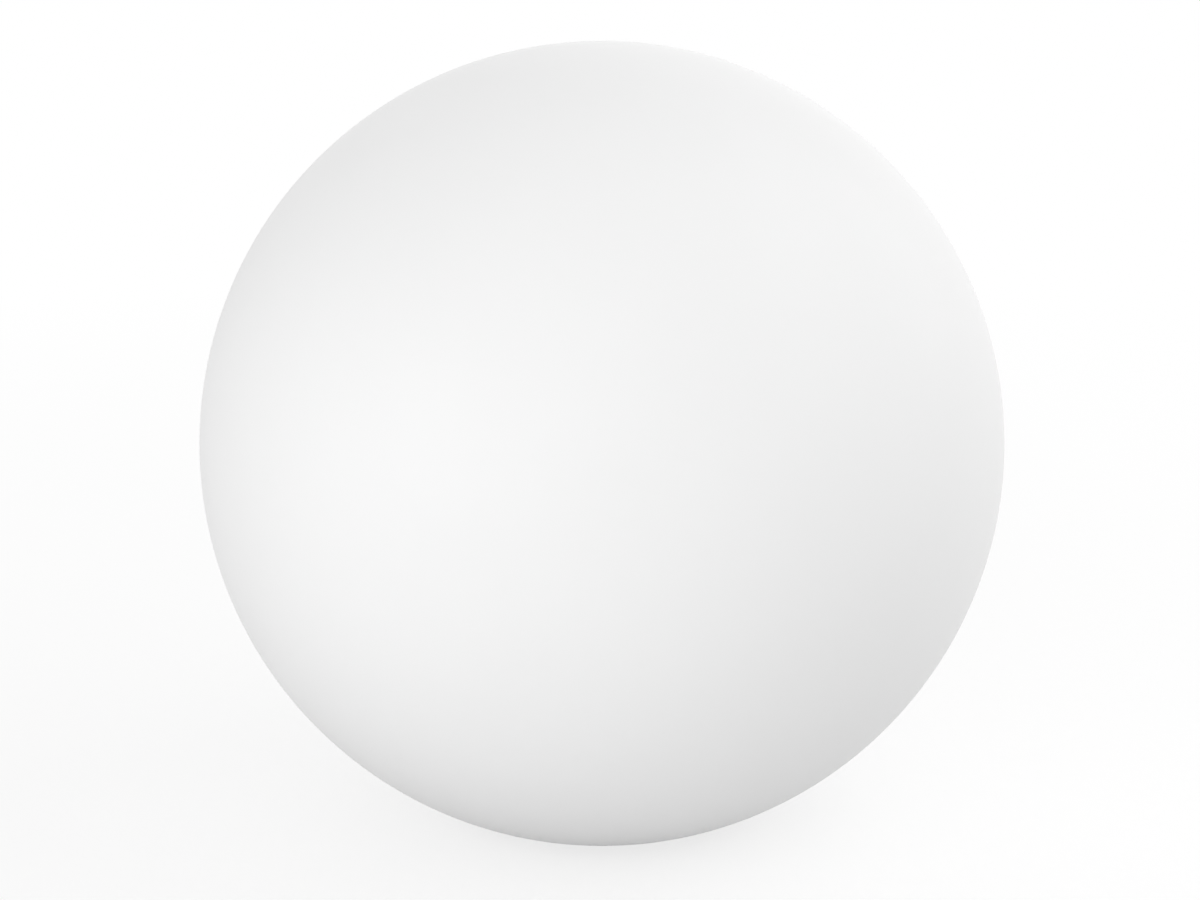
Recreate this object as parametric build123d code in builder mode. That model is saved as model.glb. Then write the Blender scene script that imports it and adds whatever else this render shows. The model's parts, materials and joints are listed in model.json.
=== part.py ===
from build123d import *
from math import asin, degrees, sqrt
import os

# Outdoor floor lamp: a white moulded globe that twists off a low base, which carries a bulb on a column.
# Millimetres, +Z up. The origin is on the floor, under the middle of the globe. The cable inlet faces +Y.

# Globe
GLOBE_DIAMETER = 500.0
GLOBE_WALL = 4.0
FLOOR_GAP = 9.0  # from the floor up to the globe's flat rim
RIM_LAND = 8.0  # flat rim outside the seat of the neck ring
RIM_ROUND = 5.0  # between the sphere and the rim
INSIDE_ROUND = 8.0  # between the inner floor and the inside of the sphere

# Twist lock: short ribs of a steep three-start thread, on the base collar and in the neck ring
COLLAR_DIAMETER = 134.0
COLLAR_WALL = 3.5
COLLAR_HEIGHT = 37.0
COLLAR_ROUND = 0.8  # top edges of the collar and of the neck ring
LOCK_STARTS = 3
LOCK_LEAD = 72.0  # rise for one full turn
LOCK_ARC = 46.0  # degrees that each rib spans
RIB_DEPTH = 3.5  # how far a rib stands out
RIB_HEIGHT = 5.0
RIB_ROOT = 1.0  # how deep a rib is rooted in its wall
LOCK_GAP = 0.5  # running clearance all round the ribs
COLLAR_MARGIN = 1.2  # collar above its ribs, and neck ring above its own

# Neck ring, which is screwed into the globe, and its seals
RING_WALL = 4.0
RING_ROUND = 0.8  # lower edge of the neck ring's flange
FLANGE_THICKNESS = 4.5
GASKET_THICKNESS = 1.0
SEAT_GAP = 0.3  # from the base flange up to the neck ring
GROOVE_LAND = 2.5  # neck ring between its bore and the seal groove
SEAL_WIDTH = 4.0
GROOVE_DEPTH = 3.0
SEAL_GAP = 0.15
FIT_GAP = 0.5  # loose fit between the neck ring and the globe
INSERT_GAP = 0.05
NECK_SCREWS = 6
NECK_SCREW_DIAMETER = 4.8
NECK_SCREW_HEAD = 9.4
NECK_SCREW_LENGTH = 14.0
NECK_SCREW_CROSS = 4.8
CROSS_DEPTH = 1.2
NECK_SCREW_LAND = 2.0  # flange left around the screw heads
INSERT_DIAMETER = 8.0
INSERT_LENGTH = 10.0
INSERT_GROOVE = 0.6
INSERT_BOSS = 15.0
INSERT_BOSS_HEIGHT = 9.0

# Base housing
BASE_FLOOR = 3.5
FOOT_LAND = 3.0  # base flange outside the seal
FOOT_CHAMFER = 1.5
FOOT_ROUND = 1.2  # upper edge of the base flange
COLLAR_ROOT = 1.5  # between the base flange and the collar
PADS = 6
PAD_DIAMETER = 14.0
PAD_PROUD = 2.5
PAD_SUNK = 1.0
PAD_GAP = 0.2
PAD_CHAMFER = 0.6
BOSS_DIAMETER = 9.0
BOSS_RIB = 2.0
BOSS_LAND = 4.0  # between a cover boss and the collar wall

# Cable pocket and gland
POCKET_WIDTH = 32.0
POCKET_WALL = 3.0
POCKET_HEADROOM = 2.0
GLAND_WALL_Y = 13.0  # inner face of the wall that holds the gland
GLAND_HEIGHT = 17.5  # gland axis above the floor
GLAND_THREAD = 16.0
GLAND_HEX = 22.0  # across flats
GLAND_COLLAR = 5.0
GLAND_NECK = 9.0  # body inside the cap
GLAND_NECK_DIAMETER = 16.4
GLAND_TAIL = 8.0  # thread inside the housing
GLAND_CAP_LENGTH = 15.0
GLAND_CAP_LIP = 2.5
GLAND_CAP_TAPER = 10.0  # degrees
GLAND_BORE = 10.0
GLAND_WASHER = 1.5
LOCKNUT_THICKNESS = 5.0
GLAND_GAP = 0.1  # thread clearance
CABLE_BORE = 7.0
SEAL_PLUG_DIAMETER = 13.0
CHANNEL_WIDTH = 9.0
CHANNEL_ROOF = 2.0

# Cover and column
COVER_THICKNESS = 3.0
COVER_RECESS = 3.0  # cover below the collar's top
COVER_GAP = 0.4
COVER_ROUND = 0.8
COVER_SCREWS = 4
COVER_BOSS_DEPTH = 5.0
WIRE_HOLE = 18.0
SCREW_DIAMETER = 3.6
SCREW_HEAD = 7.0
SCREW_HEAD_HEIGHT = 2.4
SCREW_HEAD_ROUND = 0.8
SCREW_CROSS = 3.6
SCREW_LENGTH = 9.0
SCREW_GAP = 0.2
COLUMN_DIAMETER = 28.0
COLUMN_WALL = 2.5
COLUMN_HEIGHT = 85.0
COLUMN_TOP = 4.0
COLUMN_FLANGE = 60.0
COLUMN_FLANGE_THICKNESS = 4.0
COLUMN_ROUND = 1.2  # edges of the flange and the column's top
COLUMN_ROOT = 2.5  # between the tube and its flange
COLUMN_SCREWS = 3
COLUMN_SCREW_CIRCLE = 45.0
GUSSET_THICKNESS = 2.5
GUSSET_HEIGHT = 26.0
GUSSET_TOE = 2.0  # flange left outside a gusset

# Lampholder
NIPPLE_DIAMETER = 10.0
NIPPLE_BORE = 7.6
NIPPLE_REACH = 1.5  # nipple inside the lampholder
NIPPLE_TAIL = 2.0  # nipple below its nut
NUT_HEX = 14.0
NUT_THICKNESS = 3.0
THREAD_GAP = 0.1
HOLDER_DIAMETER = 41.6
HOLDER_WALL = 2.4
HOLDER_FOOT = 22.0
HOLDER_FLOOR = 4.0
HOLDER_FLARE = 10.0
HOLDER_LEDGE = 2.7  # seat of the contact block
DOME_HEIGHT = 22.0
SPIGOT_HEIGHT = 7.0
SPIGOT_WALL = 2.2
SHELL_GAP = 0.2
SHELL_HEIGHT = 34.0
SHELL_BORE = 31.0
SHELL_CHAMFER = 1.0
SEAM_CHAMFER = 0.4  # groove where the dome and the upper shell meet
BLOCK_THICKNESS = 9.0
BLOCK_GAP = 0.2
SLEEVE_GAP = 0.5  # thread space around the bulb's cap
SLEEVE_WALL = 0.5
SLEEVE_HEIGHT = 24.0
SLEEVE_FOOT = 3.5
LEAF_THICKNESS = 0.6
LEAF_WIDTH = 6.0
LEAF_RISE = 3.0
LEAF_END = 9.0  # middle of the lampholder to the end of the leaf's foot
LEAF_BEND = 4.0  # middle of the lampholder to where the leaf rises
LEAF_TIP = 4.0
RIVET_DIAMETER = 2.0
RIVET_LENGTH = 4.0
RIVET_HEAD = 3.2
RIVET_HEAD_HEIGHT = 0.6
RIVET_GAP = 0.05

# Bulb
CAP_DIAMETER = 26.0
CAP_LENGTH = 20.5
CAP_START = 5.5  # from the tip to the cap's lower edge
CAP_WALL = 1.2  # depth of the rolled thread with its sheet
CAP_GAP = 0.1
TIP_DIAMETER = 9.6
TIP_HEIGHT = 1.8
INSULATOR_DIAMETER = 23.0
INSULATOR_PLUG = 3.0
BULB_LENGTH = 110.0
BULB_DIAMETER = 60.0
BULB_WALL = 1.6
BULB_NECK = 29.2
BULB_NECK_LENGTH = 8.0
BULB_SKIRT = 6.0  # housing inside the cap
BULB_SWELL = 14.0  # how strongly the housing curves outwards
BULB_SHOULDER = 69.0  # from the tip up to the dome's edge
BOARD_THICKNESS = 1.6
BOARD_DROP = 2.5
BOARD_GAP = 0.3
BOARD_LEDGE = 2.3
LEDS = 10
LED_SIZE = 3.0
LED_THICKNESS = 0.8
LED_INSET = 9.0  # middle of the LEDs to the board's edge
DRIVER_WIDTH = 16.0
DRIVER_HEIGHT = 34.0
DRIVER_THICKNESS = 1.6
CAPACITOR_DIAMETER = 8.0
CAPACITOR_HEIGHT = 14.0
CAPACITOR_SUNK = 0.3
COIL_WIDTH = 10.0
COIL_DEPTH = 7.0
COIL_HEIGHT = 9.0
PARTS_DROP = 6.0  # driver parts below the LED board

# Terminal block and wires
TERMINAL_Y = -36.0
TERMINAL_WIDTH = 22.0
TERMINAL_DEPTH = 20.0
TERMINAL_HEIGHT = 15.0
TERMINAL_PITCH = 11.0
TERMINAL_ROUND = 1.5
TUBE_HEIGHT = 7.0  # terminal tube axis above the chamber floor
TUBE_DIAMETER = 4.0
TUBE_BORE = 2.4
TUBE_LENGTH = 16.0
TUBE_GAP = 0.1
CLAMP_SCREW = 3.5
CLAMP_SCREW_HEIGHT = 4.0
CLAMP_SCREW_PITCH = 9.0
CLAMP_SLOT = 0.8
TERMINAL_BOSS = 8.0
TERMINAL_BOSS_HEIGHT = 4.0
TERMINAL_WEB = 8.0  # screw head above the chamber floor
TERMINAL_SCREW = 2.8
TERMINAL_SCREW_HEAD = 5.4
TERMINAL_SCREW_HEAD_HEIGHT = 2.0
WIRE_DIAMETER = 2.2
WIRE_SPACING = 3.4  # between the two wires inside the nipple
WIRE_SPREAD = 12.0  # between the two wires at the contact block
WIRE_LEVEL = 11.0  # wires below the cover
WIRE_STUB = 2.0  # straight wire under the contact block
WIRE_SOCKET = 3.0  # wire inside the contact block
WIRE_GRIP = 3.0  # wire inside the terminal tube
WIRE_LOOP = 8.0  # wires in front of the terminal block
WIRE_GAP = 0.1
WIRE_BENDS = (4.0, 4.0, 10.0, 6.0, 4.0)  # bend radii from the contact block to the terminal block

# Radii, from the collar outwards
globe_r = GLOBE_DIAMETER / 2
collar_r = COLLAR_DIAMETER / 2
collar_inner_r = collar_r - COLLAR_WALL
ring_bore_r = collar_r + RIB_DEPTH + LOCK_GAP
ring_outer_r = ring_bore_r + RING_WALL
opening_r = ring_outer_r + FIT_GAP
groove_inner_r = ring_bore_r + GROOVE_LAND
groove_outer_r = groove_inner_r + SEAL_WIDTH
foot_r = groove_outer_r + FOOT_LAND
neck_screw_r = groove_outer_r + NECK_SCREW_LAND + NECK_SCREW_HEAD / 2
flange_r = neck_screw_r + NECK_SCREW_HEAD / 2 + NECK_SCREW_LAND
seat_r = flange_r + FIT_GAP
rim_r = seat_r + RIM_LAND
boss_circle_r = collar_inner_r - BOSS_LAND - BOSS_DIAMETER / 2

# Heights of the globe and the base
globe_centre_z = FLOOR_GAP + sqrt(globe_r**2 - rim_r**2)
seat_z = FLOOR_GAP + FLANGE_THICKNESS + GASKET_THICKNESS
inner_floor_z = seat_z + GLOBE_WALL
underside_z = PAD_PROUD
floor_z = underside_z + BASE_FLOOR
flange_top_z = FLOOR_GAP - SEAT_GAP
collar_top_z = flange_top_z + COLLAR_HEIGHT
lock_rise = LOCK_LEAD * LOCK_ARC / 360
lug_z = collar_top_z - COLLAR_MARGIN - lock_rise - RIB_HEIGHT
rib_z = lug_z - LOCK_GAP - RIB_HEIGHT
ring_top_z = rib_z + lock_rise + RIB_HEIGHT + COLLAR_MARGIN
cover_top_z = collar_top_z - COVER_RECESS
cover_z = cover_top_z - COVER_THICKNESS
pocket_ceiling_z = GLAND_HEIGHT + GLAND_HEX / 2 + POCKET_HEADROOM
gland_face_y = GLAND_WALL_Y + POCKET_WALL

# Heights of the lampholder and the bulb
column_top_z = cover_top_z + COLUMN_HEIGHT
dome_top_z = column_top_z + DOME_HEIGHT
seam_z = dome_top_z - SPIGOT_HEIGHT
block_z = dome_top_z - BLOCK_THICKNESS
shell_top_z = dome_top_z + SHELL_HEIGHT
tip_z = dome_top_z + LEAF_RISE
cap_z = tip_z + CAP_START
cap_top_z = cap_z + CAP_LENGTH
shoulder_z = tip_z + BULB_SHOULDER
bulb_r = BULB_DIAMETER / 2
bulb_centre_z = tip_z + BULB_LENGTH - bulb_r
shoulder_r = sqrt(bulb_r**2 - (bulb_centre_z - shoulder_z) ** 2)
board_r = shoulder_r - BULB_WALL - BOARD_GAP
board_z = shoulder_z - BOARD_DROP - BOARD_THICKNESS
tube_z = floor_z + TUBE_HEIGHT
spigot_r = HOLDER_DIAMETER / 2 - HOLDER_WALL - SHELL_GAP
spigot_bore_r = spigot_r - SPIGOT_WALL
sleeve_r = CAP_DIAMETER / 2 + SLEEVE_GAP
cap_bore_r = CAP_DIAMETER / 2 - CAP_WALL
rivet_x = (LEAF_END + LEAF_BEND) / 2
sleeve_rivet_r = sleeve_r - SLEEVE_FOOT / 2

os.makedirs("parts", exist_ok=True)


def keep(piece, name):
    piece.part.label = name
    export_step(piece.part, f"parts/{name}.step")


def gland_plane(y):
    """A plane square to the gland's axis, facing the way the cable leaves."""
    return Plane((0, y, GLAND_HEIGHT), x_dir=(1, 0, 0), z_dir=(0, 1, 0))


def lock_rib(inner_r, outer_r, z):
    """One rib of the twist lock: a stretch of a steep right-hand thread that starts on +X."""
    with BuildPart() as rib:
        with BuildLine():
            Helix(pitch=LOCK_LEAD, height=lock_rise, radius=inner_r, center=(0, 0, z))
        with BuildSketch(Plane.XZ):
            with Locations((inner_r, z)):
                Rectangle(outer_r - inner_r, RIB_HEIGHT, align=(Align.MIN, Align.MIN))
        sweep(is_frenet=True)
    return rib.part


def cross_cutter(plane, circle_r, count, start_angle, size, depth):
    """Crosses to be cut into a ring of screw heads, whose outer faces lie on the plane."""
    with BuildPart() as cutter:
        with BuildSketch(plane):
            with PolarLocations(circle_r, count, start_angle=start_angle):
                Rectangle(size, size / 4)
                Rectangle(size / 4, size)
        extrude(amount=-depth)
    return cutter.part


def pan_screws(z, circle_r, count, start_angle):
    """A ring of pan-head screws with crosses, whose heads rest on the height z."""
    crosses = cross_cutter(
        Plane.XY.offset(z + SCREW_HEAD_HEIGHT), circle_r, count, start_angle, SCREW_CROSS, CROSS_DEPTH
    )
    with BuildPart() as screws:
        with BuildSketch(Plane.XY.offset(z)):
            with PolarLocations(circle_r, count, start_angle=start_angle):
                Circle(SCREW_HEAD / 2)
        extrude(amount=SCREW_HEAD_HEIGHT)
        fillet(screws.edges().group_by(Axis.Z)[-1], SCREW_HEAD_ROUND)
        with BuildSketch(Plane.XY.offset(z)):
            with PolarLocations(circle_r, count, start_angle=start_angle):
                Circle(SCREW_DIAMETER / 2)
        extrude(amount=-SCREW_LENGTH)
        add(crosses, mode=Mode.SUBTRACT)
    return screws.part


def wire(side):
    """One wire from the contact block down the column to the front of the terminal block."""
    front_y = TERMINAL_Y - TERMINAL_DEPTH / 2 - WIRE_LOOP
    level_z = cover_z - WIRE_LEVEL
    top_x = side * WIRE_SPREAD / 2
    nipple_x = side * WIRE_SPACING / 2
    tube_x = side * TERMINAL_PITCH / 2
    with BuildPart() as core:
        with BuildLine() as run:
            FilletPolyline(
                (top_x, 0, block_z + WIRE_SOCKET),
                (top_x, 0, block_z - WIRE_STUB),
                (nipple_x, 0, column_top_z + HOLDER_FLOOR),
                (nipple_x, 0, level_z),
                (tube_x, front_y, level_z),
                (tube_x, front_y, tube_z),
                (tube_x, TERMINAL_Y - TUBE_LENGTH / 2 + WIRE_GRIP, tube_z),
                radius=WIRE_BENDS,
            )
        with BuildSketch(Plane(run.line @ 0, z_dir=run.line % 0)):
            Circle(WIRE_DIAMETER / 2)
        sweep()
    return core.part


# Globe: one moulded shell, thicker round the rim, with bosses for the threaded inserts
with BuildPart() as globe:
    with BuildSketch(Plane.XZ) as shell_section:
        rim_angle = degrees(asin((FLOOR_GAP - globe_centre_z) / globe_r))
        inner_r = globe_r - GLOBE_WALL
        inner_angle = degrees(asin((inner_floor_z - globe_centre_z) / inner_r))
        inner_floor_r = sqrt(inner_r**2 - (inner_floor_z - globe_centre_z) ** 2)
        with BuildLine():
            CenterArc((0, globe_centre_z), globe_r, rim_angle, 90 - rim_angle)
            CenterArc((0, globe_centre_z), inner_r, inner_angle, 90 - inner_angle)
            Line((0, globe_centre_z + globe_r), (0, globe_centre_z + inner_r))
            Polyline(
                (rim_r, FLOOR_GAP),
                (seat_r, FLOOR_GAP),
                (seat_r, seat_z),
                (opening_r, seat_z),
                (opening_r, inner_floor_z),
                (inner_floor_r, inner_floor_z),
            )
        make_face()
        corners = shell_section.vertices()
        fillet(corners.sort_by_distance((rim_r, FLOOR_GAP))[0], RIM_ROUND)
        corners = shell_section.vertices()
        fillet(corners.sort_by_distance((inner_floor_r, inner_floor_z))[0], INSIDE_ROUND)
    revolve(axis=Axis.Z)
    with BuildSketch(Plane.XY.offset(inner_floor_z)):
        with PolarLocations(neck_screw_r, NECK_SCREWS):
            Circle(INSERT_BOSS / 2)
        Circle(opening_r, mode=Mode.SUBTRACT)
    extrude(amount=INSERT_BOSS_HEIGHT)
    with BuildSketch(Plane.XY.offset(seat_z)):
        with PolarLocations(neck_screw_r, NECK_SCREWS):
            Circle(INSERT_DIAMETER / 2 + INSERT_GAP)
    extrude(amount=INSERT_LENGTH, mode=Mode.SUBTRACT)
keep(globe, "globe")

# Brass inserts moulded into the globe
with BuildPart() as neck_inserts:
    with BuildSketch(Plane.XY.offset(seat_z)):
        with PolarLocations(neck_screw_r, NECK_SCREWS):
            Circle(INSERT_DIAMETER / 2)
            Circle(NECK_SCREW_DIAMETER / 2 + THREAD_GAP, mode=Mode.SUBTRACT)
    extrude(amount=INSERT_LENGTH)
    with BuildSketch(Plane.XY.offset(seat_z + INSERT_LENGTH / 3)):
        with PolarLocations(neck_screw_r, NECK_SCREWS):
            Circle(INSERT_DIAMETER / 2)
            Circle(INSERT_DIAMETER / 2 - INSERT_GROOVE, mode=Mode.SUBTRACT)
    extrude(amount=INSERT_LENGTH / 3, mode=Mode.SUBTRACT)
keep(neck_inserts, "neck_inserts")

# Flat gasket between the neck ring and the globe
with BuildPart() as neck_gasket:
    with BuildSketch(Plane.XY.offset(seat_z - GASKET_THICKNESS)):
        Circle(flange_r)
        Circle(opening_r, mode=Mode.SUBTRACT)
        with PolarLocations(neck_screw_r, NECK_SCREWS):
            Circle(NECK_SCREW_DIAMETER / 2 + SCREW_GAP, mode=Mode.SUBTRACT)
    extrude(amount=GASKET_THICKNESS)
keep(neck_gasket, "neck_gasket")

# Neck ring: flange, collar and the ribs that hook under those of the base
neck_rib = lock_rib(collar_r + LOCK_GAP, ring_bore_r + RIB_ROOT, rib_z)
with BuildPart() as neck_ring:
    with BuildSketch(Plane.XZ) as ring_section:
        flange_top = FLOOR_GAP + FLANGE_THICKNESS
        with BuildLine():
            Polyline(
                (ring_bore_r, FLOOR_GAP),
                (groove_inner_r, FLOOR_GAP),
                (groove_inner_r, FLOOR_GAP + GROOVE_DEPTH),
                (groove_outer_r, FLOOR_GAP + GROOVE_DEPTH),
                (groove_outer_r, FLOOR_GAP),
                (flange_r, FLOOR_GAP),
                (flange_r, flange_top),
                (ring_outer_r, flange_top),
                (ring_outer_r, ring_top_z),
                (ring_bore_r, ring_top_z),
                close=True,
            )
        make_face()
        fillet(ring_section.vertices().group_by(Axis.Y)[-1], COLLAR_ROUND)
        corners = ring_section.vertices()
        fillet(corners.sort_by_distance((flange_r, FLOOR_GAP))[0], RING_ROUND)
    revolve(axis=Axis.Z)
    with PolarLocations(0, LOCK_STARTS):
        add(neck_rib)
    with Locations(Plane.XY.offset(FLOOR_GAP).rotated((180, 0, 0))):
        with PolarLocations(neck_screw_r, NECK_SCREWS):
            CounterSinkHole(
                radius=NECK_SCREW_DIAMETER / 2 + SCREW_GAP,
                counter_sink_radius=NECK_SCREW_HEAD / 2 + SCREW_GAP,
                depth=FLANGE_THICKNESS,
                counter_sink_angle=90,
            )
keep(neck_ring, "neck_ring")

# Countersunk screws from below into the inserts
head_plane = Plane.XY.offset(FLOOR_GAP + SCREW_GAP)
neck_screw_crosses = cross_cutter(
    head_plane.rotated((180, 0, 0)),
    neck_screw_r,
    NECK_SCREWS,
    0,
    NECK_SCREW_CROSS,
    CROSS_DEPTH,
)
with BuildPart() as neck_screws:
    with BuildSketch(head_plane):
        with PolarLocations(neck_screw_r, NECK_SCREWS):
            Circle(NECK_SCREW_HEAD / 2 - SCREW_GAP)
    extrude(amount=(NECK_SCREW_HEAD - NECK_SCREW_DIAMETER) / 2 - SCREW_GAP, taper=45)
    with BuildSketch(head_plane):
        with PolarLocations(neck_screw_r, NECK_SCREWS):
            Circle(NECK_SCREW_DIAMETER / 2)
    extrude(amount=NECK_SCREW_LENGTH)
    add(neck_screw_crosses, mode=Mode.SUBTRACT)
keep(neck_screws, "neck_screws")

# Ring seal in the groove under the neck ring
with BuildPart() as globe_seal:
    with BuildSketch(Plane.XY.offset(flange_top_z + SEAL_GAP)):
        Circle(groove_outer_r - SEAL_GAP)
        Circle(groove_inner_r + SEAL_GAP, mode=Mode.SUBTRACT)
    extrude(amount=SEAT_GAP + GROOVE_DEPTH - 2 * SEAL_GAP)
    fillet(globe_seal.edges().group_by(Axis.Z)[0], SEAL_WIDTH / 6)
keep(globe_seal, "globe_seal")

# Base housing: foot flange, chamber and collar with its ribs, and a cable pocket open to the floor
base_rib = lock_rib(collar_r - RIB_ROOT, collar_r + RIB_DEPTH, lug_z)
with BuildPart() as base_housing:
    with BuildSketch(Plane.XZ) as base_section:
        with BuildLine():
            Polyline(
                (0, underside_z),
                (foot_r, underside_z),
                (foot_r, flange_top_z),
                (collar_r, flange_top_z),
                (collar_r, collar_top_z),
                (collar_inner_r, collar_top_z),
                (collar_inner_r, floor_z),
                (0, floor_z),
                close=True,
            )
        make_face()
        fillet(base_section.vertices().group_by(Axis.Y)[-1], COLLAR_ROUND)
        corners = base_section.vertices()
        fillet(corners.sort_by_distance((foot_r, flange_top_z))[0], FOOT_ROUND)
        corners = base_section.vertices()
        fillet(corners.sort_by_distance((collar_r, flange_top_z))[0], COLLAR_ROOT)
    revolve(axis=Axis.Z)
    chamfer(base_housing.edges().group_by(Axis.Z)[0], FOOT_CHAMFER)
    with PolarLocations(0, LOCK_STARTS):
        add(base_rib)
    # Walls and roof of the cable pocket
    with BuildSketch(Plane.XY.offset(underside_z)):
        with Locations((0, GLAND_WALL_Y)):
            Rectangle(POCKET_WIDTH + 2 * POCKET_WALL, collar_r, align=(Align.CENTER, Align.MIN))
        Circle(collar_inner_r + COLLAR_WALL / 2, mode=Mode.INTERSECT)
    extrude(amount=pocket_ceiling_z + POCKET_WALL - underside_z)
    with BuildSketch():
        with Locations((0, gland_face_y)):
            Rectangle(POCKET_WIDTH, collar_r, align=(Align.CENTER, Align.MIN))
        Circle(collar_inner_r, mode=Mode.INTERSECT)
    extrude(amount=pocket_ceiling_z, mode=Mode.SUBTRACT)
    # Channel that lets the cable out under the rim
    with BuildSketch():
        with Locations((0, collar_inner_r - COLLAR_WALL)):
            Rectangle(CHANNEL_WIDTH, foot_r, align=(Align.CENTER, Align.MIN))
    extrude(amount=flange_top_z - CHANNEL_ROOF, mode=Mode.SUBTRACT)
    with BuildSketch(gland_plane(GLAND_WALL_Y)):
        Circle(GLAND_THREAD / 2 + GLAND_GAP)
    extrude(amount=POCKET_WALL, mode=Mode.SUBTRACT)
    # Bosses for the cover screws, each with a rib to the collar wall
    with BuildSketch(Plane.XY.offset(floor_z)):
        with PolarLocations(boss_circle_r, COVER_SCREWS, start_angle=180 / COVER_SCREWS):
            Circle(BOSS_DIAMETER / 2)
    extrude(amount=cover_z - floor_z)
    with BuildSketch(Plane.XY.offset(floor_z)):
        boss_rib_length = collar_inner_r + COLLAR_WALL / 2 - boss_circle_r
        with PolarLocations(boss_circle_r, COVER_SCREWS, start_angle=180 / COVER_SCREWS):
            Rectangle(boss_rib_length, BOSS_RIB, align=(Align.MIN, Align.CENTER))
    extrude(amount=cover_z - floor_z - COVER_RECESS)
    with BuildSketch(Plane.XY.offset(cover_z)):
        with PolarLocations(boss_circle_r, COVER_SCREWS, start_angle=180 / COVER_SCREWS):
            Circle(SCREW_DIAMETER / 2 + THREAD_GAP)
    extrude(amount=-SCREW_LENGTH, mode=Mode.SUBTRACT)
    # Boss that the terminal block stands over
    with BuildSketch(Plane.XY.offset(floor_z)):
        with Locations((0, TERMINAL_Y)):
            Circle(TERMINAL_BOSS / 2)
    extrude(amount=TERMINAL_BOSS_HEIGHT)
    with BuildSketch(Plane.XY.offset(floor_z)):
        with Locations((0, TERMINAL_Y)):
            Circle(TERMINAL_SCREW / 2 + THREAD_GAP)
    extrude(amount=TERMINAL_BOSS_HEIGHT, mode=Mode.SUBTRACT)
    with BuildSketch():
        with PolarLocations(foot_r - FOOT_LAND - PAD_DIAMETER / 2, PADS):
            Circle(PAD_DIAMETER / 2 + PAD_GAP)
    extrude(amount=underside_z + PAD_SUNK, mode=Mode.SUBTRACT)
keep(base_housing, "base_housing")

# Rubber pads under the foot
with BuildPart() as foot_pads:
    with BuildSketch():
        with PolarLocations(foot_r - FOOT_LAND - PAD_DIAMETER / 2, PADS):
            Circle(PAD_DIAMETER / 2)
    extrude(amount=underside_z + PAD_SUNK)
    chamfer(foot_pads.edges().group_by(Axis.Z)[0], PAD_CHAMFER)
keep(foot_pads, "foot_pads")

# Cable gland: body with hex collar, flat washer, locknut, rubber plug and cap
collar_y = gland_face_y + GLAND_WASHER
neck_y = collar_y + GLAND_COLLAR
with BuildPart() as gland_body:
    with BuildSketch(gland_plane(GLAND_WALL_Y - GLAND_TAIL)):
        Circle(GLAND_THREAD / 2)
    extrude(amount=collar_y - GLAND_WALL_Y + GLAND_TAIL)
    with BuildSketch(gland_plane(collar_y)):
        RegularPolygon(GLAND_HEX / 2, 6, major_radius=False)
    extrude(amount=GLAND_COLLAR)
    with BuildSketch(gland_plane(neck_y)):
        Circle(GLAND_NECK_DIAMETER / 2)
    extrude(amount=GLAND_NECK)
    with BuildSketch(gland_plane(GLAND_WALL_Y - GLAND_TAIL)):
        Circle(GLAND_BORE / 2)
    extrude(amount=neck_y - GLAND_WALL_Y + GLAND_TAIL, mode=Mode.SUBTRACT)
    with BuildSketch(gland_plane(neck_y)):
        Circle(SEAL_PLUG_DIAMETER / 2 + GLAND_GAP)
    extrude(amount=GLAND_NECK, mode=Mode.SUBTRACT)
keep(gland_body, "gland_body")

with BuildPart() as gland_washer:
    with BuildSketch(gland_plane(gland_face_y)):
        Circle(GLAND_HEX / 2)
        Circle(GLAND_THREAD / 2 + GLAND_GAP, mode=Mode.SUBTRACT)
    extrude(amount=GLAND_WASHER)
keep(gland_washer, "gland_washer")

with BuildPart() as gland_locknut:
    with BuildSketch(gland_plane(GLAND_WALL_Y - LOCKNUT_THICKNESS)):
        RegularPolygon(GLAND_HEX / 2, 6, major_radius=False)
        Circle(GLAND_THREAD / 2 + GLAND_GAP, mode=Mode.SUBTRACT)
    extrude(amount=LOCKNUT_THICKNESS)
keep(gland_locknut, "gland_locknut")

with BuildPart() as gland_plug:
    with BuildSketch(gland_plane(neck_y)):
        Circle(SEAL_PLUG_DIAMETER / 2)
        Circle(CABLE_BORE / 2, mode=Mode.SUBTRACT)
    extrude(amount=GLAND_CAP_LENGTH - GLAND_CAP_LIP)
keep(gland_plug, "gland_plug")

with BuildPart() as gland_cap:
    with BuildSketch(gland_plane(neck_y)):
        RegularPolygon(GLAND_HEX / 2, 6, major_radius=False)
    extrude(amount=GLAND_CAP_LENGTH)
    # The free end is turned down to a cone
    with BuildSketch(gland_plane(neck_y)):
        Circle(GLAND_HEX / sqrt(3))
    extrude(amount=GLAND_CAP_LENGTH, taper=GLAND_CAP_TAPER, mode=Mode.INTERSECT)
    with BuildSketch(gland_plane(neck_y)):
        Circle(GLAND_NECK_DIAMETER / 2 + GLAND_GAP)
    extrude(amount=GLAND_CAP_LENGTH - GLAND_CAP_LIP, mode=Mode.SUBTRACT)
    with BuildSketch(gland_plane(neck_y)):
        Circle(GLAND_BORE / 2)
    extrude(amount=GLAND_CAP_LENGTH, mode=Mode.SUBTRACT)
keep(gland_cap, "gland_cap")

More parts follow.
